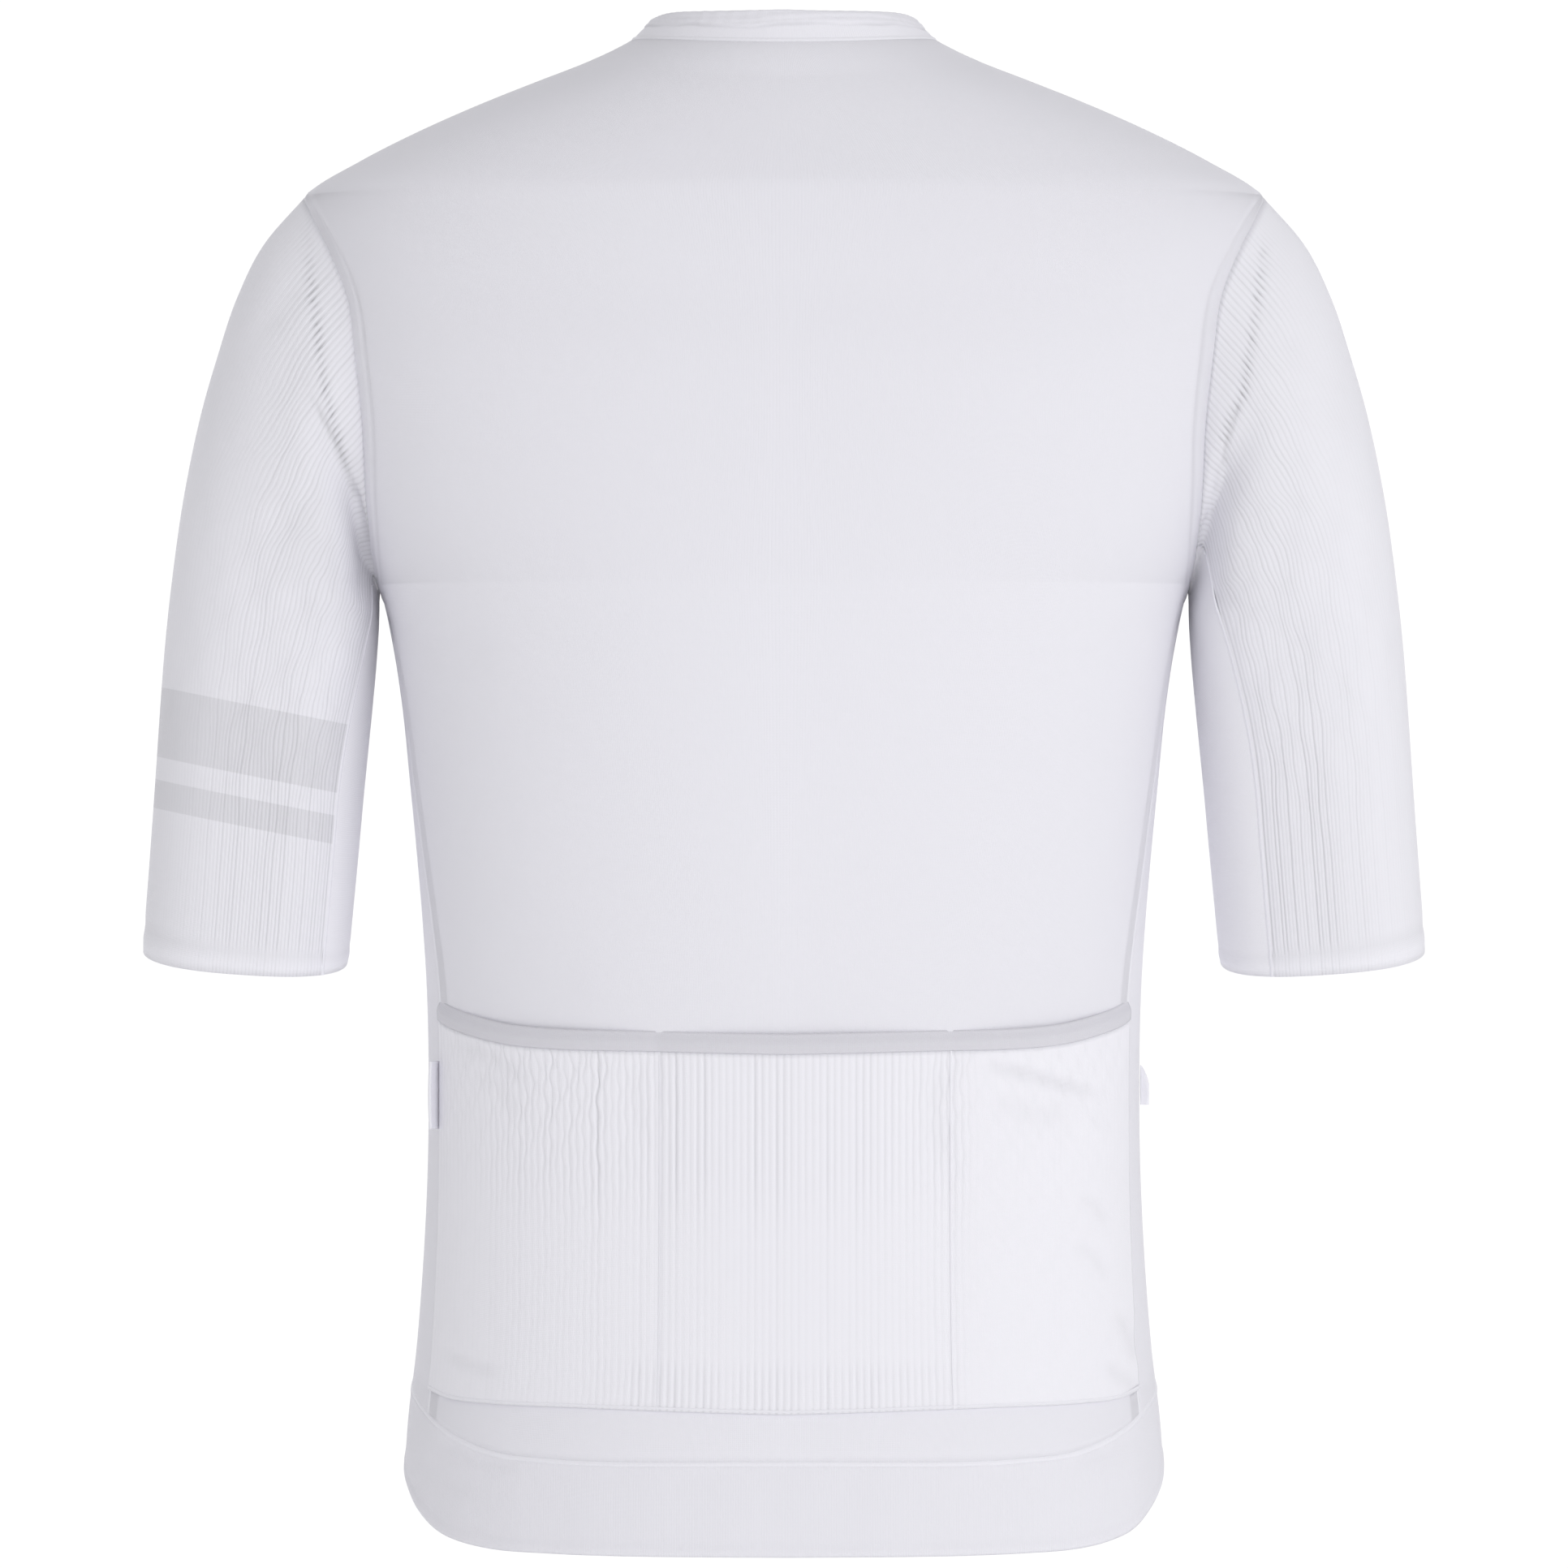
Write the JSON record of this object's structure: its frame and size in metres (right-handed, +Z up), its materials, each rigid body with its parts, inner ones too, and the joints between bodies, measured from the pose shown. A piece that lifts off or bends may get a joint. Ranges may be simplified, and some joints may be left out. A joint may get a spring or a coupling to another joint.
{
  "type": "cycling jersey",
  "caption": "Slim short-sleeved cycling jersey filled out as worn: stand collar, ribbed sleeves, ribbed rear pocket in compartments, full front zip and a hem band dropped at the back.",
  "frame": {"origin": "middle of the neck, level with the neck ends of the shoulder seams, where the wearer's shoulders and neck hold the garment", "axes": "+X towards the wearer's left, +Y towards the wearer's back, +Z up"},
  "size_m": [0.559, 0.2352, 0.6623],
  "materials": {
    "body_cloth": "smooth matt stretch knit, cool white",
    "rib_knit": "fine vertical rib knit, cool white",
    "band_cloth": "smooth elastic band, faint sheen",
    "grey_tape": "flat light grey tape",
    "tab_tape": "narrow woven tape, white",
    "zip_tape": "woven tape with a moulded chain, white",
    "zip_metal": "satin, painted white"
  },
  "bodies": {
    "garment": {"back_panel": "body_cloth", "front_left": "body_cloth", "front_right": "body_cloth", "side_left": "body_cloth", "side_right": "body_cloth", "hem_band": "band_cloth", "collar": "band_cloth", "pocket_panel": "rib_knit", "pocket_tape": "grey_tape", "sleeve_left": "rib_knit", "sleeve_right": "rib_knit", "sleeve_under_left": "body_cloth", "sleeve_under_right": "body_cloth", "tab_left": "tab_tape", "tab_right": "tab_tape", "zip_tape": "zip_tape", "zip_slider": "zip_metal"},
    "pull": {"zip_pull": "zip_metal"}
  },
  "joints": [
    {"name": "zip_pull_swing", "type": "hinge", "parent": "garment", "child": "pull", "pos_m": [0, -0.06745, -0.05486], "axis": [-1, 0, 0], "range_deg": [0, 150]}
  ]
}
